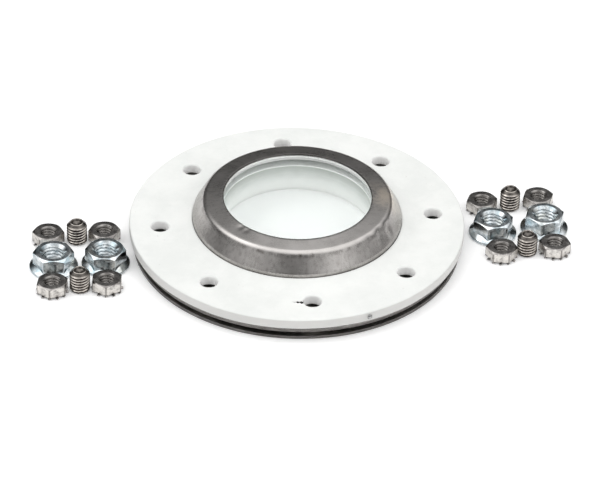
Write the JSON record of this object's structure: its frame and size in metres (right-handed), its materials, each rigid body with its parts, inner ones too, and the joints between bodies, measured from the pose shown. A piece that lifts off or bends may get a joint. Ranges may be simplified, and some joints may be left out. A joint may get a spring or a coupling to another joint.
{
  "type": "sight glass",
  "caption": "Round flanged sight glass: domed steel bezel over a glass disc, white fibre gasket on a stud circle, with its loose lock nuts, flange nuts and set screws.",
  "frame": {"origin": "centre of the stud circle on the back plate's underside, which is the surface the kit lies on", "axes": "+Z along the viewing axis, from the back plate to the bezel's opening; +X to the right as one faces the kit, +Y away"},
  "size_m": [0.2123, 0.1324, 0.0215],
  "materials": {
    "plate_steel": "satin rolled sheet",
    "bezel_steel": "satin pressed sheet with draw marks",
    "gasket_fibre": "matt white ceramic fibre board",
    "fibre": "matt white ceramic fibre",
    "seal_fibre": "matt white sheet seal",
    "sight_glass": "clear with a faint green edge",
    "tack_steel": "bright",
    "lock_nut_steel": "bright turned stainless steel",
    "washer_steel": "hardened steel",
    "zinc_plate": "clear blue zinc plate",
    "screw_steel": "machined stainless steel"
  },
  "bodies": {
    "plate": {"back_plate": "plate_steel"},
    "support": {"support_ring": "fibre"},
    "glass_disc": {"glass": "sight_glass"},
    "seal": {"top_seal": "seal_fibre"},
    "bezel_shell": {"bezel": "bezel_steel"},
    "gasket_sheet": {"gasket": "gasket_fibre", "gasket_tack": "tack_steel"},
    "lock_nut_1": {"lock_nut_1": "lock_nut_steel"},
    "lock_washer_1": {"lock_washer_1": "washer_steel"},
    "lock_nut_2": {"lock_nut_2": "lock_nut_steel"},
    "lock_washer_2": {"lock_washer_2": "washer_steel"},
    "lock_nut_3": {"lock_nut_3": "lock_nut_steel"},
    "lock_washer_3": {"lock_washer_3": "washer_steel"},
    "lock_nut_4": {"lock_nut_4": "lock_nut_steel"},
    "lock_washer_4": {"lock_washer_4": "washer_steel"},
    "lock_nut_5": {"lock_nut_5": "lock_nut_steel"},
    "lock_washer_5": {"lock_washer_5": "washer_steel"},
    "lock_nut_6": {"lock_nut_6": "lock_nut_steel"},
    "lock_washer_6": {"lock_washer_6": "washer_steel"},
    "lock_nut_7": {"lock_nut_7": "lock_nut_steel"},
    "lock_washer_7": {"lock_washer_7": "washer_steel"},
    "lock_nut_8": {"lock_nut_8": "lock_nut_steel"},
    "lock_washer_8": {"lock_washer_8": "washer_steel"},
    "flange_nut_1": {"flange_nut_1": "zinc_plate"},
    "flange_nut_2": {"flange_nut_2": "zinc_plate"},
    "flange_nut_3": {"flange_nut_3": "zinc_plate"},
    "flange_nut_4": {"flange_nut_4": "zinc_plate"},
    "set_screw_1": {"set_screw_1": "screw_steel"},
    "set_screw_2": {"set_screw_2": "screw_steel"},
    "set_screw_3": {"set_screw_3": "screw_steel"},
    "set_screw_4": {"set_screw_4": "screw_steel"}
  },
  "joints": [
    {"name": "bezel_lift", "type": "slide", "parent": "plate", "child": "bezel_shell", "axis": [0, 0, 1], "range_m": [0, 0.06]},
    {"name": "seal_lift", "type": "slide", "parent": "plate", "child": "seal", "axis": [0, 0, 1], "range_m": [0, 0.045]},
    {"name": "glass_lift", "type": "slide", "parent": "plate", "child": "glass_disc", "axis": [0, 0, 1], "range_m": [0, 0.03]},
    {"name": "support_lift", "type": "slide", "parent": "plate", "child": "support", "axis": [0, 0, 1], "range_m": [0, 0.015]},
    {"name": "gasket_lift", "type": "slide", "parent": "bezel_shell", "child": "gasket_sheet", "axis": [0, 0, 1], "range_m": [0, 0.03]},
    {"name": "lock_nut_1_lift", "type": "slide", "parent": "plate", "child": "lock_nut_1", "axis": [0, 0, 1], "range_m": [0, 0.03]},
    {"name": "lock_washer_1_spin", "type": "hinge", "parent": "lock_nut_1", "child": "lock_washer_1", "pos_m": [-0.09767, -0.00509, 0], "axis": [0, 0, 1], "continuous": true},
    {"name": "lock_nut_2_lift", "type": "slide", "parent": "plate", "child": "lock_nut_2", "axis": [0, 0, 1], "range_m": [0, 0.03]},
    {"name": "lock_washer_2_spin", "type": "hinge", "parent": "lock_nut_2", "child": "lock_washer_2", "pos_m": [-0.07575, -0.00279, 0], "axis": [0, 0, 1], "continuous": true},
    {"name": "lock_nut_3_lift", "type": "slide", "parent": "plate", "child": "lock_nut_3", "axis": [0, 0, 1], "range_m": [0, 0.03]},
    {"name": "lock_washer_3_spin", "type": "hinge", "parent": "lock_nut_3", "child": "lock_washer_3", "pos_m": [-0.09367, -0.03791, 0], "axis": [0, 0, 1], "continuous": true},
    {"name": "lock_nut_4_lift", "type": "slide", "parent": "plate", "child": "lock_nut_4", "axis": [0, 0, 1], "range_m": [0, 0.03]},
    {"name": "lock_washer_4_spin", "type": "hinge", "parent": "lock_nut_4", "child": "lock_washer_4", "pos_m": [-0.07275, -0.03511, 0], "axis": [0, 0, 1], "continuous": true},
    {"name": "lock_nut_5_lift", "type": "slide", "parent": "plate", "child": "lock_nut_5", "axis": [0, 0, 1], "range_m": [0, 0.03]},
    {"name": "lock_washer_5_spin", "type": "hinge", "parent": "lock_nut_5", "child": "lock_washer_5", "pos_m": [0.07385, 0.02491, 0], "axis": [0, 0, 1], "continuous": true},
    {"name": "lock_nut_6_lift", "type": "slide", "parent": "plate", "child": "lock_nut_6", "axis": [0, 0, 1], "range_m": [0, 0.03]},
    {"name": "lock_washer_6_spin", "type": "hinge", "parent": "lock_nut_6", "child": "lock_washer_6", "pos_m": [0.09657, 0.02891, 0], "axis": [0, 0, 1], "continuous": true},
    {"name": "lock_nut_7_lift", "type": "slide", "parent": "plate", "child": "lock_nut_7", "axis": [0, 0, 1], "range_m": [0, 0.03]},
    {"name": "lock_washer_7_spin", "type": "hinge", "parent": "lock_nut_7", "child": "lock_washer_7", "pos_m": [0.08075, -0.00731, 0], "axis": [0, 0, 1], "continuous": true},
    {"name": "lock_nut_8_lift", "type": "slide", "parent": "plate", "child": "lock_nut_8", "axis": [0, 0, 1], "range_m": [0, 0.03]},
    {"name": "lock_washer_8_spin", "type": "hinge", "parent": "lock_nut_8", "child": "lock_washer_8", "pos_m": [0.10177, -0.00311, 0], "axis": [0, 0, 1], "continuous": true},
    {"name": "flange_nut_1_lift", "type": "slide", "parent": "plate", "child": "flange_nut_1", "axis": [0, 0, 1], "range_m": [0, 0.03]},
    {"name": "flange_nut_2_lift", "type": "slide", "parent": "plate", "child": "flange_nut_2", "axis": [0, 0, 1], "range_m": [0, 0.03]},
    {"name": "flange_nut_3_lift", "type": "slide", "parent": "plate", "child": "flange_nut_3", "axis": [0, 0, 1], "range_m": [0, 0.03]},
    {"name": "flange_nut_4_lift", "type": "slide", "parent": "plate", "child": "flange_nut_4", "axis": [0, 0, 1], "range_m": [0, 0.03]},
    {"name": "set_screw_1_lift", "type": "slide", "parent": "plate", "child": "set_screw_1", "axis": [0, 0, 1], "range_m": [0, 0.03]},
    {"name": "set_screw_2_lift", "type": "slide", "parent": "plate", "child": "set_screw_2", "axis": [0, 0, 1], "range_m": [0, 0.03]},
    {"name": "set_screw_3_lift", "type": "slide", "parent": "plate", "child": "set_screw_3", "axis": [0, 0, 1], "range_m": [0, 0.03]},
    {"name": "set_screw_4_lift", "type": "slide", "parent": "plate", "child": "set_screw_4", "axis": [0, 0, 1], "range_m": [0, 0.03]}
  ],
  "couplings": [
    {"joint": "seal_lift", "follows": "bezel_lift", "ratio": 0.75},
    {"joint": "glass_lift", "follows": "bezel_lift", "ratio": 0.5},
    {"joint": "support_lift", "follows": "bezel_lift", "ratio": 0.25}
  ]
}
